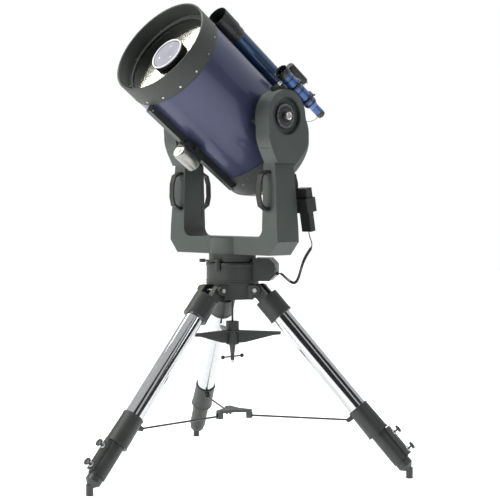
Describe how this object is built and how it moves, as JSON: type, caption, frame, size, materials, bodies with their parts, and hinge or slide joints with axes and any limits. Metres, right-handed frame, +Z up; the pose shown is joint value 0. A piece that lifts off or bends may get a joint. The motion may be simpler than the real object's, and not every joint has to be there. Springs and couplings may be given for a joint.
{
  "type": "schmidt cassegrain telescope",
  "caption": "Large Schmidt-Cassegrain reflector on a two-arm fork mount and a folding field tripod, with guide scope, finder, sliding balance weight and corded handset.",
  "frame": {"origin": "on the floor, under the middle of the object's overall box (the azimuth axis is at y = +0.198 m)", "axes": "+Z up, -Y towards the side the tube points to, X along the altitude axis"},
  "size_m": [1.4192, 1.2541, 2.0282],
  "materials": {
    "casting": "black crackle paint",
    "leg_chrome": "polished tube",
    "leg_inner": "black anodised",
    "knob_black": "fine texture",
    "bolt_steel": "satin",
    "worm_brass": "machined",
    "fork_paint": "grey hammer paint",
    "strap_black": "ribbed",
    "knob_silver": "knurled",
    "handset_case": "fine texture",
    "cord_jacket": "smooth",
    "tube_blue": "fine metallic",
    "cell_black": "black crackle paint",
    "clear_glass": "coated",
    "cap_white": "satin white",
    "mirror": "polished",
    "baffle_black": "flat black",
    "weight_steel": "polished",
    "guide_blue": "metallic",
    "finder_blue": "gloss",
    "rail_black": "black anodised"
  },
  "bodies": {
    "base": {"tripod_head": "casting", "leg_hinge_bolts": "bolt_steel", "drive_base": "casting", "azimuth_drive": "worm_brass", "control_panel": "casting", "handset_cord": "cord_jacket"},
    "power_switch": {"power_switch": "knob_black"},
    "azimuth_lever": {"azimuth_lock_lever": "casting"},
    "spreader": {"spreader": "casting"},
    "tension_rod": {"tension_rod": "bolt_steel"},
    "brace_hub": {"brace_hub": "fork_paint"},
    "fork": {"fork_base": "fork_paint", "azimuth_shaft": "casting", "left_arm": "fork_paint", "right_arm": "fork_paint", "left_head": "fork_paint", "right_head": "fork_paint", "carry_handles": "strap_black", "handset_holder": "handset_case", "handset": "handset_case"},
    "tube": {"main_tube": "tube_blue", "front_cell": "cell_black", "cell_screws": "bolt_steel", "corrector_plate": "clear_glass", "secondary_housing": "cap_white", "secondary_mirror": "mirror", "baffle_tube": "baffle_black", "rear_cell": "cell_black", "trunnions": "casting", "rails": "rail_black", "guide_tube": "guide_blue", "guide_fittings": "rail_black", "scope_lenses": "clear_glass", "finder_tube": "finder_blue", "finder_fittings": "rail_black", "finder_wire": "cord_jacket"},
    "altitude_knob": {"altitude_lock_knob": "knob_silver"},
    "primary_mirror": {"primary_mirror": "mirror"},
    "focus_knob": {"focus_knob": "knob_black"},
    "balance_weight": {"balance_weight": "weight_steel"},
    "weight_knob": {"weight_knob": "knob_black"},
    "guide_focus_knob": {"guide_focus_knob": "knob_silver"},
    "leg_1": {"leg_1_castings": "casting", "leg_1_tube": "leg_chrome"},
    "foot_1": {"leg_1_extension": "leg_inner"},
    "brace_1": {"brace_1": "leg_inner"},
    "knob_1_upper": {"leg_1_knob_upper": "knob_black"},
    "knob_1_lower": {"leg_1_knob_lower": "knob_black"},
    "leg_2": {"leg_2_castings": "casting", "leg_2_tube": "leg_chrome"},
    "foot_2": {"leg_2_extension": "leg_inner"},
    "brace_2": {"brace_2": "leg_inner"},
    "knob_2_upper": {"leg_2_knob_upper": "knob_black"},
    "knob_2_lower": {"leg_2_knob_lower": "knob_black"},
    "leg_3": {"leg_3_castings": "casting", "leg_3_tube": "leg_chrome"},
    "foot_3": {"leg_3_extension": "leg_inner"},
    "brace_3": {"brace_3": "leg_inner"},
    "knob_3_upper": {"leg_3_knob_upper": "knob_black"},
    "knob_3_lower": {"leg_3_knob_lower": "knob_black"}
  },
  "joints": [
    {"name": "azimuth_turn", "type": "hinge", "parent": "base", "child": "fork", "pos_m": [0, 0.1978, 0.919], "axis": [0, 0, 1], "range_deg": [-180, 180]},
    {"name": "altitude_tilt", "type": "hinge", "parent": "fork", "child": "tube", "pos_m": [0, 0.1978, 1.546], "axis": [-1, 0, 0], "range_deg": [-34.4, 55.6]},
    {"name": "altitude_knob_turn", "type": "hinge", "parent": "tube", "child": "altitude_knob", "pos_m": [0.343, 0.1978, 1.546], "axis": [1, 0, 0], "range_deg": [-90, 90]},
    {"name": "power_switch_rock", "type": "hinge", "parent": "base", "child": "power_switch", "pos_m": [0.17489, 0.28974, 0.889], "axis": [0, 0, 1], "range_deg": [-6, 6]},
    {"name": "azimuth_lever_swing", "type": "hinge", "parent": "base", "child": "azimuth_lever", "pos_m": [0.03106, 0.08189, 0.927], "axis": [0, 0, 1], "range_deg": [0, 40]},
    {"name": "leg_1_fold", "type": "hinge", "parent": "base", "child": "leg_1", "pos_m": [0, 0.0738, 0.798], "axis": [1, 0, 0], "range_deg": [0, 13]},
    {"name": "leg_1_extend", "type": "slide", "parent": "leg_1", "child": "foot_1", "axis": [0, -0.6587, -0.7524], "range_m": [0, 0.35]},
    {"name": "brace_1_swing", "type": "hinge", "parent": "leg_1", "child": "brace_1", "pos_m": [0, -0.32981, 0.23828], "axis": [1, 0, 0], "range_deg": [0, 24.2]},
    {"name": "knob_1_upper_turn", "type": "hinge", "parent": "leg_1", "child": "knob_1_upper", "pos_m": [0, -0.53123, 0.19797], "axis": [0, -0.7524, 0.6587], "range_deg": [0, 360]},
    {"name": "knob_1_lower_turn", "type": "hinge", "parent": "leg_1", "child": "knob_1_lower", "pos_m": [0, -0.59117, 0.1295], "axis": [0, -0.7524, 0.6587], "range_deg": [0, 360]},
    {"name": "leg_2_fold", "type": "hinge", "parent": "base", "child": "leg_2", "pos_m": [0.10739, 0.2598, 0.798], "axis": [-0.5, 0.866, 0], "range_deg": [0, 13]},
    {"name": "leg_2_extend", "type": "slide", "parent": "leg_2", "child": "foot_2", "axis": [0.5704, 0.3293, -0.7524], "range_m": [0, 0.35]},
    {"name": "brace_2_swing", "type": "hinge", "parent": "leg_2", "child": "brace_2", "pos_m": [0.45693, 0.46161, 0.23828], "axis": [-0.5, 0.866, 0], "range_deg": [0, 24.2]},
    {"name": "knob_2_upper_turn", "type": "hinge", "parent": "leg_2", "child": "knob_2_upper", "pos_m": [0.63136, 0.56232, 0.19797], "axis": [0.6516, 0.3762, 0.6587], "range_deg": [0, 360]},
    {"name": "knob_2_lower_turn", "type": "hinge", "parent": "leg_2", "child": "knob_2_lower", "pos_m": [0.68327, 0.59229, 0.1295], "axis": [0.6516, 0.3762, 0.6587], "range_deg": [0, 360]},
    {"name": "leg_3_fold", "type": "hinge", "parent": "base", "child": "leg_3", "pos_m": [-0.10739, 0.2598, 0.798], "axis": [-0.5, -0.866, 0], "range_deg": [0, 13]},
    {"name": "leg_3_extend", "type": "slide", "parent": "leg_3", "child": "foot_3", "axis": [-0.5704, 0.3293, -0.7524], "range_m": [0, 0.35]},
    {"name": "brace_3_swing", "type": "hinge", "parent": "leg_3", "child": "brace_3", "pos_m": [-0.45693, 0.46161, 0.23828], "axis": [-0.5, -0.866, 0], "range_deg": [0, 24.2]},
    {"name": "knob_3_upper_turn", "type": "hinge", "parent": "leg_3", "child": "knob_3_upper", "pos_m": [-0.63136, 0.56232, 0.19797], "axis": [-0.6516, 0.3762, 0.6587], "range_deg": [0, 360]},
    {"name": "knob_3_lower_turn", "type": "hinge", "parent": "leg_3", "child": "knob_3_lower", "pos_m": [-0.68327, 0.59229, 0.1295], "axis": [-0.6516, 0.3762, 0.6587], "range_deg": [0, 360]},
    {"name": "brace_hub_slide", "type": "slide", "parent": "base", "child": "brace_hub", "axis": [0, 0, 1], "range_m": [0, 0.195]},
    {"name": "spreader_turn", "type": "hinge", "parent": "base", "child": "spreader", "pos_m": [0, 0.1978, 0.6], "axis": [0, 0, 1], "range_deg": [0, 60]},
    {"name": "tension_rod_turn", "type": "hinge", "parent": "base", "child": "tension_rod", "pos_m": [0, 0.1978, 0.5], "axis": [0, 0, 1], "continuous": true},
    {"name": "mirror_focus", "type": "slide", "parent": "tube", "child": "primary_mirror", "axis": [0, -0.8251, 0.565], "range_m": [-0.0075, 0.0075]},
    {"name": "focus_knob_turn", "type": "hinge", "parent": "tube", "child": "focus_knob", "pos_m": [0.11, 0.41404, 1.3131], "axis": [0, -0.8251, 0.565], "range_deg": [-361, 361]},
    {"name": "weight_slide", "type": "slide", "parent": "tube", "child": "balance_weight", "axis": [0, -0.8251, 0.565], "range_m": [-0.22, 0.2]},
    {"name": "weight_knob_turn", "type": "hinge", "parent": "balance_weight", "child": "weight_knob", "pos_m": [0.03, -0.04411, 1.40865], "axis": [1, 0, 0], "range_deg": [0, 360]},
    {"name": "guide_focus_turn", "type": "hinge", "parent": "tube", "child": "guide_focus_knob", "pos_m": [0.036, 0.62225, 1.73046], "axis": [0, -0.8251, 0.565], "range_deg": [-180, 180]}
  ],
  "couplings": [
    {"joint": "brace_1_swing", "follows": "leg_1_fold", "ratio": 1.86},
    {"joint": "leg_2_fold", "follows": "leg_1_fold", "ratio": 1},
    {"joint": "brace_2_swing", "follows": "leg_1_fold", "ratio": 1.86},
    {"joint": "leg_3_fold", "follows": "leg_1_fold", "ratio": 1},
    {"joint": "brace_3_swing", "follows": "leg_1_fold", "ratio": 1.86},
    {"joint": "brace_hub_slide", "follows": "leg_1_fold", "m_per_rad": 0.8594},
    {"joint": "spreader_turn", "follows": "leg_1_fold", "ratio": 4.615},
    {"joint": "focus_knob_turn", "follows": "mirror_focus", "rad_per_m": 837}
  ]
}
